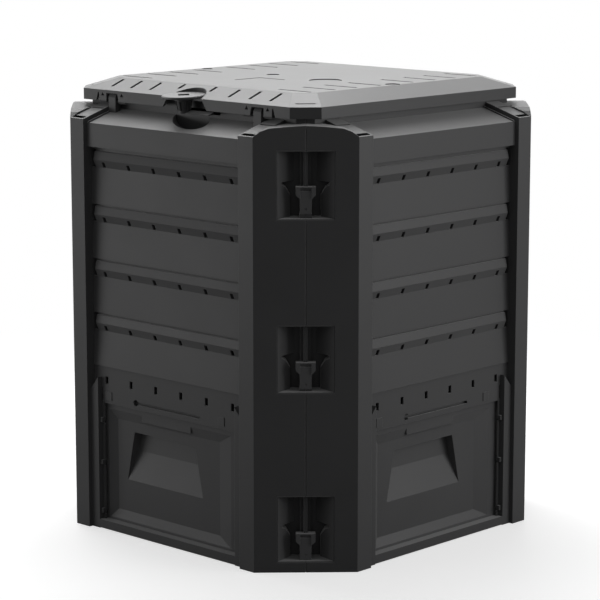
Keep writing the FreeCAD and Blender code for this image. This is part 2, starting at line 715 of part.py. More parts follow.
def caps():
    """The sloping cap of the post and the rounded cap of the corner, both up to the rim."""
    corner_x, _, meet, _ = rim_points()
    post_plan = box("post_plan", (POST_IN, POST_OUT), ("0", "rim_setback"), (RIM_ROOT, "rim_top"))
    post_web = box("post_web", (f"{POST_OUT} - skin", POST_OUT), ("0", "rim_setback"), (RIM_ROOT, "rim_top"))
    slab = sheet_along("cap_slab", "0", POST_TOP, "module / 4", (POST_IN, HALF))
    post_cap = fuse("post_cap", common("post_cap_plate", post_plan, slab),
                    cut("post_cap_web", post_web, above("above_web", "0", POST_TOP, ("0", HALF))))
    slit = box("cap_slit", (f"{POST_IN} + skin", f"{POST_IN} + skin + cap_slit_long"),
               ("cap_slit_setback - cap_slit_wide / 2", "cap_slit_setback + cap_slit_wide / 2"),
               (f"{POST_TOP} - {CLEAR}", "rim_top"))
    plan = prism("corner_plan", "XY",
                 [(f"{POST_OUT} - skin / 2", "0"), (POST_OUT, "0"), (f"{HALF} - {SEAM} - seam_gap", SEAM),
                  (f"{meet} - seam_gap", f"{HALF} - {meet}"), (corner_x, "rim_setback"),
                  (f"{POST_OUT} - skin / 2", "rim_setback")], (f"{POST_TOP} - {CLEAR}", "rim_top"))
    low = [(f"-{CHAMFER} - {CLEAR}", f"{POST_TOP} - 2 * skin")] + shoulder("2 * skin")
    top = [(f"-{CHAMFER} - {CLEAR}", POST_TOP)] + shoulder()
    dome = at_corner(prism("corner_slab", "XZ", low + top[::-1], ("0", f"{CHAMFER}")))
    return cut("caps_open", fuse("caps", post_cap, common("corner_cap", plan, dome)), slit)


def ledge():
    """The sloping ledge between header and rim, with a rib and a groove beside the post."""
    side = f"{POST_IN} + skin / 2"
    sheet_part = sheet_along("ledge", "header_setback", LEDGE_FRONT, "rim_setback + skin / 2", ("0", side))
    rib = sheet_along("ledge_rib_bar", "header_setback", LEDGE_FRONT, "rim_setback + skin / 2",
                      (f"{POST_IN} - ledge_groove - ledge_rib", f"{POST_IN} - ledge_groove"),
                      "ledge_rib_high")
    groove = box("ledge_groove_cut", (f"{POST_IN} - ledge_groove", POST_IN),
                 ("header_setback + ledge_groove_margin", "rim_setback - ledge_groove_margin / 2"),
                 (f"{LEDGE_FRONT} - {CLEAR}", "rim_top"))
    return cut("ledge_open", fuse("ledge_with_rib", sheet_part, rib), groove)


def wall_half():
    """The right half of a wall."""
    post = fuse("post",
                box("post_front", (POST_IN, POST_OUT), ("0", "skin"), ("0", "rim_top")),
                box("post_side", (POST_IN, f"{POST_IN} + skin"), ("0", "post_depth"), ("0", "rim_top")),
                box("post_head", (POST_IN, f"{POST_IN} + skin"), ("0", "rim_setback + skin / 2"),
                    (HEADER_LOW, "rim_top")))
    trimmed = cut("post_trimmed", post, above("above_cap", "0", POST_TOP, ("0", HALF)))
    open_field = cut("open_field", field(), *vent_cuts())
    return fuse("wall_half", trimmed, corner(), open_field, *fins(), *strip_and_rails(), rim(),
                ledge(), caps())


def wall():
    """One wall: two mirrored halves, then the keyhole slit and the two pads over the hatch."""
    half = wall_half()
    whole = fuse("wall_both", half, mirrored("wall_left_half", half))
    key_level = "(door_top + key_up)"
    key = rod("key_round", "key_hole", ("key_x", key_level), ("0", GUIDE_BACK), "y")
    slit = box("key_slit_cut", ("key_x", "key_end"), ("0", GUIDE_BACK),
               (f"{key_level} - key_slit / 2", f"{key_level} + key_slit / 2"))
    pad_level = "(door_top + pad_up)"
    pads = []
    for name in ("pad_left", "pad_right"):
        pads.append(box(f"{name}_block", (f"{name} - pad_side / 2", f"{name} + pad_side / 2"),
                        (f"{SURROUND_BACK} - pad_high", f"{SURROUND_BACK} + thin / 2"),
                        (f"{pad_level} - pad_side / 2", f"{pad_level} + pad_side / 2")))
    return fuse("wall", cut("wall_slit", whole, key, slit), *pads)


def bore_block(name, side):
    """A block on the ledge, flush with the lid's skirt, that holds a hinge pin."""
    x = on_side(side, "block_in", "block_out")
    front = f"({HALF} - {LID_HALF})"
    top = f"({LID_LOW} + block_high)"
    block = prism(f"{name}_block", "YZ", [(front, RIM_ROOT), (f"{front} + block_deep", RIM_ROOT),
                                          (f"{front} + block_deep", f"{top} - block_bevel"),
                                          (f"{front} + block_deep - block_bevel", top),
                                          (f"{front} + block_bevel", top),
                                          (front, f"{top} - 2 * block_bevel")], x)
    bore = rod(f"{name}_bore", "pin + 2 * pin_fit", (f"{front} + hinge_in", HINGE_Z),
               (f"{x[0]} - skin", f"{x[1]} + skin"), "x")
    return block, bore


def hinge_wall(name, base):
    """A wall that carries two hinge pins."""
    left, left_bore = bore_block(f"{name}_left", -1)
    right, right_bore = bore_block(f"{name}_right", 1)
    return cut(f"{name}_bored", fuse(f"{name}_blocks", base, left, right), left_bore, right_bore)


def bowl(name, wall_thick, back):
    """The finger bowl's dent, thicker by its wall or not, cut straight at the back."""
    dent = doc.addObject("Part::Ellipsoid", f"{name}_dent")
    for prop, half in (("Radius1", "bowl_deep"), ("Radius2", "bowl_wide"), ("Radius3", "bowl_narrow")):
        bind(dent, prop, f"{half} + {wall_thick}")
    level = f"({LEDGE_FRONT} + cap_rise * (bowl_setback - header_setback))"
    move(dent, "bowl_x", "bowl_setback", level, (0, 0, 1), "bowl_turn")
    return common(name, dent, box(f"{name}_limit", (f"-{HALF}", HALF), ("0", back), ("0", "rim_top")))


def latch_wall(base):
    """The front wall: a finger bowl in the ledge, and a slot in the rim for the latch's tongue."""
    body = cut("bowl_body", bowl("bowl_block", "thin", "rim_setback + skin"),
               above("above_bowl", "header_setback", LEDGE_FRONT, (f"-{HALF}", HALF)))
    room = bowl("bowl_room", "0", "rim_setback")
    middle = f"({LATCH_Z} + {BARREL_LOW} - tongue_thick / 2 + tongue_rise)"
    slot = box("tongue_slot", ("latch_x - tongue_wide", "latch_x + tongue_reach + tongue_room"),
               ("rim_setback - skin", "rim_setback + 2 * skin"),
               (f"{middle} - tongue_room", f"{middle} + tongue_room"))
    return cut("wall_latch", fuse("wall_bowl", base, body), room, slot)


def hatch():
    """The sliding hatch in the wall's own frame: panel, dish, grip, scoop, and flanges in the rails."""
    z = (HATCH_LOW, HATCH_TOP)
    parts = [box("hatch_panel", (f"-{HATCH_HALF}", HATCH_HALF), (HATCH_FRONT, f"{HATCH_FRONT} + thin"), z)]
    for side, mark in ((-1, "left"), (1, "right")):
        web = on_side(side, f"{HATCH_HALF} - thin", HATCH_HALF)
        flange = on_side(side, f"{HATCH_HALF} - thin", f"{POST_IN} - edge_gap")
        parts.append(box(f"hatch_web_{mark}", web, (HATCH_FRONT, FLANGE_BACK), z))
        parts.append(box(f"hatch_flange_{mark}", flange, (FLANGE_FRONT, FLANGE_BACK), z))
    floor = f"({HATCH_FRONT} + dish_deep)"
    left = f"(-{HATCH_HALF} + dish_margin)"
    right = f"({HATCH_HALF} - dish_border)"
    inner_x = (f"{left} + bevel_left", f"{right} - bevel_right")
    inner_z = (f"{DISH_LOW} + bevel_low", f"{DISH_TOP} - bevel_top")
    parts.append(frustum("dish_body", (f"{left} - thin", f"{right} + thin"), (HATCH_FRONT, f"{floor} + thin"),
                         (f"{DISH_LOW} - thin", f"{DISH_TOP} + thin"),
                         (f"{inner_x[0]} - thin", f"{inner_x[1]} + thin"),
                         (f"{inner_z[0]} - thin", f"{inner_z[1]} + thin")))
    dish_room = frustum("dish_room", (left, right), (HATCH_FRONT, floor), (DISH_LOW, DISH_TOP),
                        inner_x, inner_z)
    scoop_body, scoop_room = scoop(floor)
    grip = box("grip", ("grip_mid - grip_half", "grip_mid + grip_half"),
               (HATCH_FRONT, f"{HATCH_FRONT} + thin"),
               (f"{DISH_TOP} - grip_high", f"{DISH_TOP} + thin"))
    dished = cut("hatch_dished", fuse("hatch_body", *parts, scoop_body), dish_room, scoop_room)
    return fuse("hatch", dished, grip)


def scoop(floor):
    """The hand scoop behind the dish's floor: its outer body and its room, widest and shallowest below."""
    top = f"({DISH_TOP} - scoop_drop)"
    crease = f"({DISH_TOP} - scoop_crease)"
    low = f"({DISH_TOP} - scoop_low)"
    room_side = [(floor, low), (f"{floor} + scoop_mid_deep", crease), (f"{floor} + scoop_deep", top),
                 (floor, top)]
    body_side = [(floor, f"{low} - thin"), (f"{floor} + thin", f"{low} - thin"),
                 (f"{floor} + scoop_mid_deep + thin", crease),
                 (f"{floor} + scoop_deep + thin", f"{top} + thin"), (floor, f"{top} + thin")]
    room_plan = [("scoop_mid - scoop_low_half", low), ("scoop_mid + scoop_low_half", low),
                 ("scoop_mid + scoop_top_half", top), ("scoop_mid - scoop_top_half", top)]
    body_plan = [("scoop_mid - scoop_low_half - thin", f"{low} - thin"),
                 ("scoop_mid + scoop_low_half + thin", f"{low} - thin"),
                 ("scoop_mid + scoop_top_half + thin", f"{top} + thin"),
                 ("scoop_mid - scoop_top_half - thin", f"{top} + thin")]
    deep = (HATCH_FRONT, f"{floor} + scoop_deep + 2 * thin")
    wide = ("scoop_mid - scoop_low_half - 2 * thin", "scoop_mid + scoop_low_half + 2 * thin")
    room = common("scoop_room", prism("scoop_room_side", "YZ", room_side, wide),
                  prism("scoop_room_plan", "XZ", room_plan, deep))
    body = common("scoop_body", prism("scoop_body_side", "YZ", body_side, wide),
                  prism("scoop_body_plan", "XZ", body_plan, deep))
    return body, room


def clip():
    """A clip that slides down over both tee edges; X across the seam, Y inwards, Z up from its foot."""
    body = prism("clip_body", "XZ", [("-clip_low_half", "0"), ("clip_low_half", "0"),
                                     ("clip_waist_half", "clip_waist"), ("ear_half", "ear_low"),
                                     ("ear_half", "clip_high"), ("-ear_half", "clip_high"),
                                     ("-ear_half", "ear_low"), ("-clip_waist_half", "clip_waist")],
                 ("clip_front", "clip_back"))
    ears = prism("clip_ears", "XZ", [("-clip_waist_half", "clip_waist"), ("clip_waist_half", "clip_waist"),
                                     ("ear_half", "ear_low"), ("ear_half", "clip_high"),
                                     ("-ear_half", "clip_high"), ("-ear_half", "ear_low")],
                 ("clip_front - ear_out", "clip_back"))
    between = box("between_ears", ("-ear_inner", "ear_inner"), ("0", "clip_front"),
                  (f"clip_waist - {CLEAR}", "clip_high - ear_bar"))
    head = box("clip_head_room", ("-tee_half - clip_gap", "tee_half + clip_gap"),
               ("rail_front - clip_gap", "rail_front + tee_thick + clip_gap"),
               (f"-{CLEAR}", "clip_high - skin"))
    neck = box("clip_neck_room", ("-web_half - clip_gap", "web_half + clip_gap"),
               ("rail_front - clip_gap", f"clip_back + {CLEAR}"), (f"-{CLEAR}", f"clip_high + {CLEAR}"))
    slot = box("clip_slot", ("-ear_inner", "ear_inner"), ("0", "clip_front + ear_slot_deep"),
               ("clip_high - ear_bar - ear_slot_high", "clip_high - ear_bar"))
    dot = rod("clip_dot", "dot", ("0", "dot_level"), ("0", "clip_front + dot_deep"), "y")
    return cut("clip", fuse("clip_solid", body, ears), between, head, neck, slot, dot)


def octagon(half, leg):
    """Corners of a square with its corners cut, by half its side and the cut along each side."""
    near = f"(({half}) - ({leg}))"
    return [(f"-{near}", f"-({half})"), (near, f"-({half})"), (half, f"-{near}"), (half, near),
            (near, half), (f"-{near}", half), (f"-({half})", near), (f"-({half})", f"-{near}")]


def roof(name, low_half, low_leg, low_z, top_half, top_leg, top_z):
    """A solid that narrows from one octagon to another above it."""
    body = doc.addObject("PartDesign::Body", name)
    plane = next(item for item in body.Origin.OriginFeatures if item.Role == "XY_Plane")
    sketches = []
    for mark, half, leg, z in (("low", low_half, low_leg, low_z), ("top", top_half, top_leg, top_z)):
        sketch = body.newObject("Sketcher::SketchObject", f"{name}_{mark}")
        sketch.AttachmentSupport = [(plane, "")]
        sketch.MapMode = "FlatFace"
        bind(sketch, "AttachmentOffset.Base.z", z)
        outline(sketch, octagon(half, leg))
        sketches.append(sketch)
    doc.recompute(sketches)
    loft = body.newObject("PartDesign::AdditiveLoft", f"{name}_loft")
    loft.Profile = sketches[0]
    loft.Sections = [sketches[1]]
    loft.Ruled = True
    return body


def tilted(name, thing):
    """A thing of the latch's own frame, put at the latch."""
    return move(copy(name, thing), "latch_x", LATCH_Y, LATCH_Z, (1, 0, 0), "latch_tilt")


def lid_slots():
    """Drain slots: six long and two short on the front and back borders, four at each side."""
    top = (LID_EDGE, f"{LID_TOP} + {CLEAR}")
    cuts = []
    for end, end_name in ((-1, "front"), (1, "back")):
        for side, side_name in ((-1, "left"), (1, "right")):
            rows = [(f"border_slot_{number}", "border_slot_in", "border_slot_out") for number in (1, 2, 3)]
            rows.append(("short_slot_x", "short_slot_in", "short_slot_out"))
            for number, (x, near, far) in enumerate(rows):
                y = on_side(end, f"{LID_HALF} - {near}", f"{LID_HALF} - {far}")
                cuts.append(box(f"slot_{end_name}_{side_name}_{number}",
                                (f"{side} * {x} - slot / 2", f"{side} * {x} + slot / 2"), y, top))
            for number in (1, 2, 3, 4):
                x = on_side(side, f"{FLAT_HALF} - side_slot_in", f"{FLAT_HALF} - side_slot_out")
                y = f"{end} * side_slot_{number}"
                cuts.append(box(f"side_slot_{end_name}_{side_name}_{number}", x,
                                (f"{y} - slot / 2", f"{y} + slot / 2"), top))
    return cuts


def lid_marks():
    """Shallow recesses on the lid's flat top: a square field, a round lens, a spot and two thumb rounds."""
    above_top = f"{LID_TOP} + {CLEAR}"
    round_span = (f"{LID_TOP} - lens_deep", above_top)
    thumb_x = f"({FLAT_HALF} - thumb_in)"
    return [box("field_cut", ("field_x - field_side / 2", "field_x + field_side / 2"),
                ("field_y - field_side / 2", "field_y + field_side / 2"),
                (f"{LID_TOP} - field_deep", above_top)),
            rod("lens_cut", "lens", ("lens_x", "lens_y"), round_span),
            rod("spot_cut", "spot", ("spot_x", "spot_y"), round_span),
            rod("thumb_right", "thumb", (thumb_x, "thumb_y"), round_span),
            rod("thumb_left", "thumb", (f"-{thumb_x}", "thumb_y"), round_span)]


def hook(mark, end, x, fit):
    """One saddle hook, flush with the skirt and open below: what is added and what is cut."""
    y = f"{end} * {HINGE_Y}"
    deep = on_side(end, f"{LID_HALF} - 2 * hinge_in", LID_HALF)
    arms = [rod(f"hook_{mark}", "2 * hinge_in", (y, HINGE_Z), x, "x"),
            box(f"hook_arm_{mark}", x, deep, (HINGE_Z, f"{NOTCH_TOP} + skin"))]
    wide = (f"{x[0]} - skin", f"{x[1]} + skin")
    middle = f"(({x[0]}) + ({x[1]})) / 2"
    rooms = [rod(f"hook_room_{mark}", f"pin + 2 * {fit}", (y, HINGE_Z), wide, "x"),
             box(f"hook_mouth_{mark}", wide, (f"{y} - pin / 2 - {fit}", f"{y} + pin / 2 + {fit}"),
                 (f"{HINGE_Z} - 2 * hinge_in", HINGE_Z)),
             prism(f"hook_hole_{mark}", "XZ", [(f"{middle} - hook_hole / 2", f"{LID_LOW} + hook_hole_low"),
                                               (f"{middle} + hook_hole / 2",
                                                f"{LID_LOW} + hook_hole_low"),
                                               (middle, f"{LID_LOW} + hook_hole_top")],
                   on_side(end, f"{LID_HALF} - hinge_in", f"{LID_HALF} + skin"))]
    return arms, rooms


def hooks():
    """Four pairs of hooks under the front and back edges, and the skirt's flared notches round the blocks."""
    arms = []
    rooms = []
    notches = []
    for end, end_name in ((-1, "front"), (1, "back")):
        fit = "hook_fit" if end > 0 else "free_fit"
        for side, side_name in ((-1, "left"), (1, "right")):
            for kind, near, far in (("near", "hook_in", "hook_out"),
                                    ("far", "far_hook_in", "far_hook_out")):
                mark = f"{end_name}_{side_name}_{kind}"
                added, taken = hook(mark, end, on_side(side, near, far), fit)
                arms += added
                rooms += taken
            low = f"{LID_LOW} - skin"
            edge = [(f"{side} * (notch_in - notch_flare)", low), (f"{side} * notch_in", NOTCH_TOP),
                    (f"{side} * notch_out", NOTCH_TOP), (f"{side} * (notch_out + notch_flare)", low)]
            notches.append(prism(f"notch_{end_name}_{side_name}", "XZ", edge,
                                 on_side(end, f"{LID_HALF} - 2 * skin", f"{LID_HALF} + skin")))
    return arms, rooms, notches


def lid_shell(notches):
    """Skirt, sloping border and flat top, hollow from below, with the ring that rests on the rim."""
    leg_in = "(lid_leg - skin * (2 - sqrt(2)))"
    outer = fuse("lid_outer", prism("lid_skirt", "XY", octagon(LID_HALF, "lid_leg"), (LID_LOW, LID_EDGE)),
                 roof("lid_roof", LID_HALF, "lid_leg", LID_EDGE, FLAT_HALF, "flat_leg", LID_TOP))
    edge_in = f"({LID_EDGE} - {ROOF_EDGE} * skin)"
    inner_half = f"{LID_HALF} - skin"
    inner = fuse("lid_inner",
                 prism("lid_skirt_room", "XY", octagon(inner_half, leg_in),
                       (f"{LID_LOW} - {CLEAR}", edge_in)),
                 roof("lid_roof_room", inner_half, leg_in, edge_in,
                      FLAT_HALF, "flat_leg", f"{LID_TOP} - skin"))
    rim_half = f"({HALF} - rim_setback)"
    ring_leg = f"(2 * {rim_half} - {RIM_CORNER} * sqrt(2))"
    ring_leg_in = f"(2 * ({rim_half} - skin) - ({RIM_CORNER} - skin) * sqrt(2))"
    ring = cut("ring", prism("ring_outer", "XY", octagon(rim_half, ring_leg),
                             ("rim_top + rest_gap", f"{LID_EDGE} + {RING_UP} * skin")),
               prism("ring_inner", "XY", octagon(f"{rim_half} - skin", ring_leg_in),
                     (f"rim_top - {CLEAR}", f"{LID_TOP} + {CLEAR}")))
    return outer, fuse("lid_shell", cut("lid_hollow", outer, inner, *notches), ring)


def lid():
    """The lid: its shell, the round cup that holds the latch's disc, the hooks and all openings."""
    arms, rooms, notches = hooks()
    low = f"{LID_LOW} - skin"
    top = f"{LATCH_Z} + {FLOOR_LOW}"
    notches.append(prism("latch_notch", "XZ", [("latch_x - funnel_low", low), ("latch_x + funnel_low", low),
                                               ("latch_x + funnel_top", top), ("latch_x - funnel_top", top)],
                         (f"-{LID_HALF} - skin", f"-{LID_HALF} + 2 * skin")))
    outer, shell = lid_shell(notches)
    cup_solid = rod("lid_cup", "cup + 2 * skin", ("0", "0"), (FLOOR_LOW, CLEAR))
    cup_wall = common("lid_cup_wall", tilted("lid_cup_place", cup_solid), outer)
    cup_room = tilted("lid_cup_room_place", rod("lid_cup_room", "cup", ("0", "0"), (FLOOR_TOP, CLEAR)))
    bearing = tilted("bearing_place", rod("bearing_disc", "bearing", ("0", "0"), (FLOOR_LOW, FLOOR_TOP)))
    bore = tilted("bore_place", rod("spindle_bore", "spindle + 2 * spindle_fit", ("0", "0"),
                                    (f"-{CLEAR}", CLEAR)))
    closed = fuse("lid_closed", shell, cup_wall, *arms)
    opened = cut("lid_opened", closed, cup_room, *rooms, *lid_slots(), *lid_marks())
    return cut("lid_bored", fuse("lid_with_bearing", opened, bearing), bore)


def turned_square(name, side, span):
    """An upright block with a square plan, turned about the latch's axis."""
    block = box(f"{name}_block", (f"-{side} / 2", f"{side} / 2"), (f"-{side} / 2", f"{side} / 2"), span)
    return move(copy(name, block), 0, 0, 0, (0, 0, 1), "square_turn")


def latch_disc():
    """The round top of the latch with its square hole; origin on its axis, Z along it."""
    edge = rod("disc_edge", "disc", ("0", "0"), ("disc_up - disc_thick", "disc_up - disc_round"))
    crown = cone("disc_crown", "disc", "disc - 2 * disc_round", ("disc_up - disc_round", "disc_up"))
    hole = turned_square("square_hole", "square", ("disc_up - 2 * disc_thick", "2 * disc_up"))
    return cut("disc_solid", fuse("disc_whole", edge, crown), hole)


def latch_barrel():
    """The ribbed barrel under the lid's cup, its spindle and square peg, and the tongue that locks."""
    span = (BARREL_LOW, BARREL_TOP)
    core = cone("barrel_core", "barrel_low - 2 * barrel_rib", "barrel_top - 2 * barrel_rib", span)
    full = cone("barrel_full", "barrel_low", "barrel_top", span)
    blades = []
    for number in range(BARREL_RIBS):
        blade = box(f"blade_{number}", ("0", "barrel_top"),
                    ("-barrel_rib_wide / 2", "barrel_rib_wide / 2"), span)
        spoke = copy(f"spoke_{number}", blade)
        blades.append(move(spoke, 0, 0, 0, (0, 0, 1), 360 * number / BARREL_RIBS))
    ribs = common("barrel_ribs", full, fuse("blades", *blades))
    spindle = rod("spindle_bar", "spindle", ("0", "0"), (BARREL_TOP, "disc_up - disc_thick"))
    peg = turned_square("peg_square", "peg", (BARREL_TOP, "-peg_low"))
    tongue_z = (f"{BARREL_LOW} - tongue_thick", BARREL_LOW)
    tongue_bar = prism("tongue_bar", "YZ", [("-tongue_wide / 2", tongue_z[0]),
                                            ("tongue_wide / 2", tongue_z[0]),
                                            ("tongue_wide / 2", tongue_z[1]),
                                            ("-tongue_wide / 2", f"{tongue_z[0]} + tongue_lip")],
                       ("-tongue_wide / 2", "tongue_reach"))
    tongue = common("tongue", tongue_bar, rod("tongue_round", "2 * tongue_reach", ("0", "0"), tongue_z))
    hub = rod("tongue_hub_disc", "tongue_hub", ("0", "0"), tongue_z)
    return fuse("barrel", core, ribs, spindle, peg, tongue, hub)


def around(name, source, quarter):
    """One of the four walls or hatches: a quarter turn each, the front first."""
    x = (0, HALF, 0, f"-{HALF}")[quarter]
    y = (f"-{HALF}", 0, HALF, 0)[quarter]
    return move(copy(name, source), x, y, 0, (0, 0, 1), 90 * quarter)


def clips(source):
    """Three clips at each corner, from the front right one round."""
    placed = []
    reach = f"({HALF} - {SEAM})"
    for quarter, corner_name in enumerate(("front_right", "back_right", "back_left", "front_left")):
        x = (reach, reach, f"-{reach}", f"-{reach}")[quarter]
        y = (f"-{reach}", reach, reach, f"-{reach}")[quarter]
        for name, level in WINDOWS.items():
            foot = f"{level} - window_high / 2 + seat_{name}"
            placed.append(move(copy(f"clip_{corner_name}_{name}", source), x, y, foot,
                               (0, 0, 1), 45 + 90 * quarter))
    return placed


def pins():
    """The four hinge pins, each through its block and under two hooks."""
    placed = []
    for end, end_name in ((-1, "front"), (1, "back")):
        for side, side_name in ((-1, "left"), (1, "right")):
            placed.append(rod(f"pin_{end_name}_{side_name}", "pin", (f"{end} * {HINGE_Y}", HINGE_Z),
                              on_side(side, "hook_in", "far_hook_out"), "x"))
    return placed


def build():
    plain = wall()
    hinged = hinge_wall("hinged", plain)
    sides = (latch_wall(hinged), plain, hinged, plain)
    door = hatch()
    nodes = []
    for quarter, name in enumerate(("front", "right", "back", "left")):
        nodes.append(around(f"wall_{name}", sides[quarter], quarter))
        nodes.append(around(f"hatch_{name}", door, quarter))
    nodes += clips(clip())
    nodes += pins()
    nodes.append(copy("lid", lid()))
    nodes.append(tilted("latch_disc", latch_disc()))
    nodes.append(tilted("latch_barrel", latch_barrel()))
    return nodes


def check(nodes):
    """Stops at anything that failed to build or is not a whole solid."""
    for thing in doc.Objects:
        if "Invalid" in thing.State or "Error" in thing.State:
            raise RuntimeError(f"{thing.Name} did not build: {thing.State}")
    for node in nodes:
        if node.Shape.isNull() or not node.Shape.isValid():
            raise RuntimeError(f"{node.Name} has no valid shape")
        print(node.Name, len(node.Shape.Solids), round(node.Shape.Volume / 1000, 1), "cm3")


def main():
    nodes = build()
    doc.recompute()
    check(nodes)
    os.makedirs("parts", exist_ok=True)
    for node in nodes:
        node.Label = node.Name
        node.Shape.exportStep(f"parts/{node.Name}.step")


main()
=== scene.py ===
# %% [markdown]
# A garden compost bin, moulded in black plastic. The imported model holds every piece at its
# real size, so this file gives the pieces their finish, the floor, the light and the camera.

import bpy
import numpy as np
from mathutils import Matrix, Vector

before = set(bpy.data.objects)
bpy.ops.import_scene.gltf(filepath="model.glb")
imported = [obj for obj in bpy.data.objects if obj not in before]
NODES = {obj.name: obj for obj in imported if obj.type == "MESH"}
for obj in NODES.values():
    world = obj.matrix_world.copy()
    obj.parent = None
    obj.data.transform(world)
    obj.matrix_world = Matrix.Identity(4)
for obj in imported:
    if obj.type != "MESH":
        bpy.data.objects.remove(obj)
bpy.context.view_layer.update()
print("nodes:", len(NODES))

# %% [markdown]
# Black plastic isn't black in daylight. Its colour is a very dark grey, and what the eye reads
# as its shape is the light that the surface mirrors softly. Two small helpers serve every
# finish below: one turns a hex colour into the linear numbers that Blender works in, and the
# other adds a node with its settings and links.

# %% Helpers for colour and nodes
def srgb(code, brighter=1.0):
    """A hex colour as linear red, green, blue and alpha: each channel below 0.04045 is divided
    by 12.92, and each above it is ((c + 0.055) / 1.055) to the power 2.4."""
    channel = np.array([int(code[i:i + 2], 16) for i in (1, 3, 5)]) / 255
    linear = np.where(channel <= 0.04045, channel / 12.92, ((channel + 0.055) / 1.055) ** 2.4)
    return (*(linear * brighter).tolist(), 1.0)


def add_node(tree, kind, settings=None, inputs=None):
    """A new node with its settings, its input values, or links for inputs that are sockets."""
    node = tree.nodes.new(kind)
    for name, value in (settings or {}).items():
        setattr(node, name, value)
    for name, value in (inputs or {}).items():
        if isinstance(value, bpy.types.NodeSocket):
            tree.links.new(value, node.inputs[name])
        else:
            node.inputs[name].default_value = value
    return node


WHITE = srgb("#ffffff")
MM_PER_METRE = 1000

# %% [markdown]
# The walls are injection-moulded polypropylene, coloured right through. The mould leaves a fine
# grain, and the melt leaves faint, broad changes of gloss where it flowed. The real grain is
# about 0.3 mm, too fine to show from four and a half metres, so it is drawn at 1.2 mm. The
# clouding is about a hand wide. Every moulded edge is slightly round and catches a line of
# light, which the Bevel node gives without changing the mesh.

# %% Moulded plastic
GRAIN_MM = 1.2              # width of a grain
GRAIN_HEIGHT_MM = 0.03      # how far a grain stands up
GRAIN_DETAIL = 2.0
GRAIN_STRENGTH = 0.35
CLOUD_MM = 90               # width of a cloud in the gloss
CLOUD_DETAIL = 3.0
CLOUD_ROUGHNESS = 0.6
TONE_SPREAD = 0.12          # share by which the clouds darken and lighten the colour
GLOSS_SPREAD = 0.04         # how far they move the roughness down and up
EDGE_MM = 0.9               # radius of a moulded edge
EDGE_SAMPLES = 4
PLASTIC_IOR = 1.49
SHEEN_ROUGHNESS = 0.5


def moulded(name, colour, roughness, sheen):
    """Polypropylene or polyamide from a textured mould: dark body, soft gloss, fine grain, and
    the pale bloom that a grained surface shows at a low angle, which is the shader's sheen."""
    made = bpy.data.materials.new(name)
    made.use_nodes = True
    tree = made.node_tree
    shader = tree.nodes["Principled BSDF"]
    place = add_node(tree, "ShaderNodeTexCoord").outputs["Object"]
    cloud = add_node(tree, "ShaderNodeTexNoise", {},
                     {"Vector": place, "Scale": MM_PER_METRE / CLOUD_MM,
                      "Detail": CLOUD_DETAIL, "Roughness": CLOUD_ROUGHNESS})
    grain = add_node(tree, "ShaderNodeTexNoise", {},
                     {"Vector": place, "Scale": MM_PER_METRE / GRAIN_MM, "Detail": GRAIN_DETAIL})
    tone = add_node(tree, "ShaderNodeMix", {"data_type": "RGBA"}, {"Factor": cloud.outputs["Fac"]})
    darker, lighter = [socket for socket in tone.inputs if socket.type == "RGBA"]
    darker.default_value = srgb(colour, 1 - TONE_SPREAD)
    lighter.default_value = srgb(colour, 1 + TONE_SPREAD)
    mixed = next(socket for socket in tone.outputs if socket.type == "RGBA")
    tree.links.new(mixed, shader.inputs["Base Color"])
    gloss = add_node(tree, "ShaderNodeMapRange", {},
                     {"Value": cloud.outputs["Fac"],
                      "To Min": roughness - GLOSS_SPREAD, "To Max": roughness + GLOSS_SPREAD})
    tree.links.new(gloss.outputs["Result"], shader.inputs["Roughness"])
    edge = add_node(tree, "ShaderNodeBevel", {"samples": EDGE_SAMPLES},
                    {"Radius": EDGE_MM / MM_PER_METRE})
    bump = add_node(tree, "ShaderNodeBump", {},
                    {"Strength": GRAIN_STRENGTH, "Distance": GRAIN_HEIGHT_MM / MM_PER_METRE,
                     "Height": grain.outputs["Fac"], "Normal": edge.outputs["Normal"]})
    tree.links.new(bump.outputs["Normal"], shader.inputs["Normal"])
    shader.inputs["IOR"].default_value = PLASTIC_IOR
    shader.inputs["Sheen Weight"].default_value = sheen
    shader.inputs["Sheen Roughness"].default_value = SHEEN_ROUGHNESS
    return made


# %% Dress the nodes
FINISH = {
    "wall": moulded("polypropylene, black, textured mould", "#353536", 0.46, 0.6),
    "lid": moulded("polypropylene, black, lid", "#353536", 0.42, 0.6),
    "hatch": moulded("polypropylene, black, hatch", "#3b3b3c", 0.46, 0.6),
    # The clips' grey is lighter than the wall plastic partly as painted highlight: the extra
    # lightness stands in for the light that their ears catch.
    "clip": moulded("polypropylene, clips, dark grey with painted highlight", "#4a4a4b", 0.40, 0.6),
    "latch": moulded("polyamide, black, latch", "#353536", 0.40, 0.6),
    "pin": moulded("polyamide, black, hinge pins", "#303031", 0.36, 0.2),
}
for name, node in NODES.items():
    kind = name.split("_")[0]
    node.data.materials.clear()
    node.data.materials.append(FINISH[kind])
print("dressed:", sorted(FINISH))

# %% [markdown]
# The bin stands on white paper. To the camera the paper is white near the object, with the
# object's soft shadow kept, and fades to the white of the room further out. To every other
# ray it is a grey sheet, because black plastic shows in its sides whatever it stands on. Under
# the bin the paper doesn't glow, so the inside stays as dark as it is in a closed box. That
# patch is a square with its corners cut, and its edge lies hidden under the walls.

# %% Floor
FLOOR_HALF = 14.0                   # half the sheet's side, in metres
SHADOW_NEAR = 0.9                   # metres from the middle at which the fade to white starts
SHADOW_FAR = 1.9                    # and at which it ends
INSIDE_HALF = 0.349                 # half the width of the patch under the bin
INSIDE_CORNER = 0.587               # x + y on the patch's cut corners
PAPER_GLOW = 0.62
PAPER_SEEN = srgb("#c8c8c8")        # what the camera sees, to which the glow is added
PAPER_MIRRORED = srgb("#707070")    # what the plastic sees


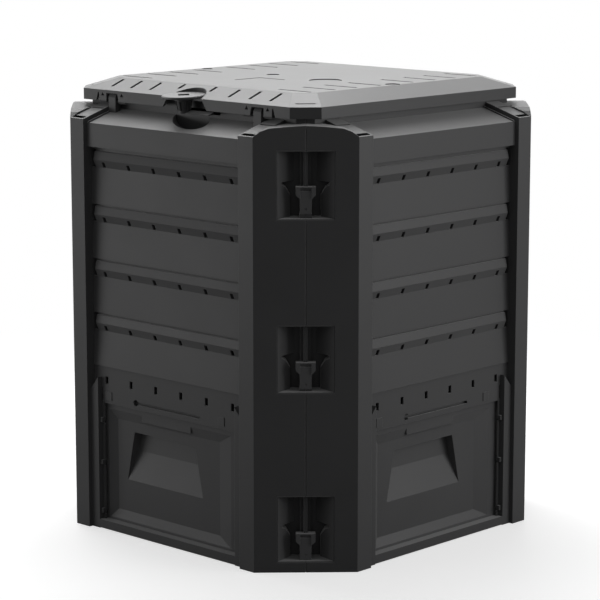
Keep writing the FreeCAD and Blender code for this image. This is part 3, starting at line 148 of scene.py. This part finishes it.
def floor_sheet(half):
    """A flat square: x and y run from -half to half, z is 0."""
    side = np.array([-half, half])
    x, y = np.meshgrid(side, side)
    points = np.stack([x.ravel(), y.ravel(), np.zeros(4)], axis=1)
    mesh = bpy.data.meshes.new("floor")
    mesh.from_pydata(points.tolist(), [], [(0, 1, 3, 2)])
    return bpy.data.objects.new("floor", mesh)


def paper(name):
    """White paper to the camera, with its shadow within a metre or two, and grey to other rays.
    A point lies outside the patch where the larger of |x|, |y| and the scaled |x| + |y| is more
    than the patch's half width."""
    made = bpy.data.materials.new(name)
    made.use_nodes = True
    tree = made.node_tree
    tree.nodes.clear()
    place = add_node(tree, "ShaderNodeTexCoord").outputs["Object"]
    away = add_node(tree, "ShaderNodeVectorMath", {"operation": "LENGTH"}, {0: place})
    sides = add_node(tree, "ShaderNodeSeparateXYZ", {}, {0: place})
    across = add_node(tree, "ShaderNodeMath", {"operation": "ABSOLUTE"}, {0: sides.outputs["X"]})
    along = add_node(tree, "ShaderNodeMath", {"operation": "ABSOLUTE"}, {0: sides.outputs["Y"]})
    straight = add_node(tree, "ShaderNodeMath", {"operation": "MAXIMUM"},
                        {0: across.outputs[0], 1: along.outputs[0]})
    slant = add_node(tree, "ShaderNodeMath", {"operation": "ADD"},
                     {0: across.outputs[0], 1: along.outputs[0]})
    past_corner = add_node(tree, "ShaderNodeMath", {"operation": "MULTIPLY"},
                           {0: slant.outputs[0], 1: INSIDE_HALF / INSIDE_CORNER})
    reach = add_node(tree, "ShaderNodeMath", {"operation": "MAXIMUM"},
                     {0: straight.outputs[0], 1: past_corner.outputs[0]})
    outside = add_node(tree, "ShaderNodeMath", {"operation": "GREATER_THAN"},
                       {0: reach.outputs[0], 1: INSIDE_HALF})
    fade = add_node(tree, "ShaderNodeMapRange", {"interpolation_type": "SMOOTHSTEP"},
                    {"Value": away.outputs["Value"],
                     "From Min": SHADOW_NEAR, "From Max": SHADOW_FAR})
    lift = add_node(tree, "ShaderNodeMath", {"operation": "MULTIPLY"},
                    {0: outside.outputs[0], 1: PAPER_GLOW})
    glow = add_node(tree, "ShaderNodeEmission", {}, {"Color": WHITE, "Strength": lift.outputs[0]})
    sheet = add_node(tree, "ShaderNodeBsdfDiffuse", {}, {"Color": PAPER_SEEN})
    near = add_node(tree, "ShaderNodeAddShader", {}, {0: glow.outputs[0], 1: sheet.outputs[0]})
    far = add_node(tree, "ShaderNodeEmission", {}, {"Color": WHITE, "Strength": 1.0})
    seen = add_node(tree, "ShaderNodeMixShader", {},
                    {"Fac": fade.outputs["Result"], 1: near.outputs[0], 2: far.outputs[0]})
    mirrored = add_node(tree, "ShaderNodeBsdfDiffuse", {}, {"Color": PAPER_MIRRORED})
    ray = add_node(tree, "ShaderNodeLightPath").outputs["Is Camera Ray"]
    both = add_node(tree, "ShaderNodeMixShader", {},
                    {"Fac": ray, 1: mirrored.outputs[0], 2: seen.outputs[0]})
    add_node(tree, "ShaderNodeOutputMaterial", {}, {"Surface": both.outputs[0]})
    return made


floor = floor_sheet(FLOOR_HALF)
bpy.context.collection.objects.link(floor)
floor.data.materials.append(paper("paper backdrop, white"))

# %% [markdown]
# A photographer lights a black object by what it mirrors. A screen behind it and a soft box
# over it give the lid and the sloping ledges their pale sheen. A low, wide box in front and to
# the left is what the upright walls mirror, one on the right reaches into the corner windows,
# and the side behind the camera stays dim, so that each chamfered corner turns darker. The
# room itself is white to the camera and dim to everything else.

# %% World and lamps
ROOM_SEEN = 1.0             # the room's white, to the camera
ROOM_LIGHT = 0.24           # and to everything else

world = bpy.data.worlds.new("studio")
bpy.context.scene.world = world
world.use_nodes = True
tree = world.node_tree
ray = add_node(tree, "ShaderNodeLightPath").outputs["Is Camera Ray"]
seen = add_node(tree, "ShaderNodeBackground", {}, {"Color": WHITE, "Strength": ROOM_SEEN})
lit = add_node(tree, "ShaderNodeBackground", {}, {"Color": WHITE, "Strength": ROOM_LIGHT})
both = add_node(tree, "ShaderNodeMixShader", {},
                {"Fac": ray, 1: lit.outputs[0], 2: seen.outputs[0]})
tree.links.new(both.outputs[0], tree.nodes["World Output"].inputs["Surface"])


def softbox(name, place, aim, size, brightness):
    """A flat lamp at a place, facing a point, that looks as bright as that many times white. An
    area lamp of P watts and A square metres has a radiance of P / (pi * A)."""
    lamp = bpy.data.lights.new(name, "AREA")
    lamp.shape = "RECTANGLE"
    lamp.size, lamp.size_y = size
    lamp.energy = brightness * np.pi * size[0] * size[1]
    holder = bpy.data.objects.new(name, lamp)
    bpy.context.collection.objects.link(holder)
    holder.location = place
    holder.rotation_euler = (Vector(aim) - Vector(place)).to_track_quat("-Z", "Y").to_euler()


softbox("screen_behind", (-2.6, 2.5, 1.7), (0.0, 0.0, 0.8), (3.4, 2.6), 1.4)
softbox("box_above", (-1.35, 0.7, 3.3), (0.0, -0.2, 0.8), (2.6, 2.6), 4.6)
softbox("box_left", (-2.3, -2.5, 0.44), (0.0, 0.0, 0.3), (2.4, 0.84), 2.1)
softbox("box_right", (3.0, 1.4, 1.0), (0.2, 0.0, 0.4), (2.0, 1.8), 2.8)

# %% [markdown]
# The camera stands where the photograph's camera stood, worked out from the bin's own corners,
# and looks at the whole bin.

# %% Camera
CAMERA_PLACE = Vector((3.0474, -3.1985, 1.2077))
CAMERA_AIM = Vector((0.0, 0.0, 0.405))
LENS_MM = 143.4
SENSOR_MM = 36.0

camera_data = bpy.data.cameras.new("camera")
camera_data.sensor_width = SENSOR_MM
camera_data.lens = LENS_MM
camera = bpy.data.objects.new("camera", camera_data)
bpy.context.collection.objects.link(camera)
camera.location = CAMERA_PLACE
camera.rotation_euler = (CAMERA_AIM - CAMERA_PLACE).to_track_quat("-Z", "Y").to_euler()
bpy.context.scene.camera = camera

# %% Finish
bpy.context.scene.view_settings.view_transform = "Standard"
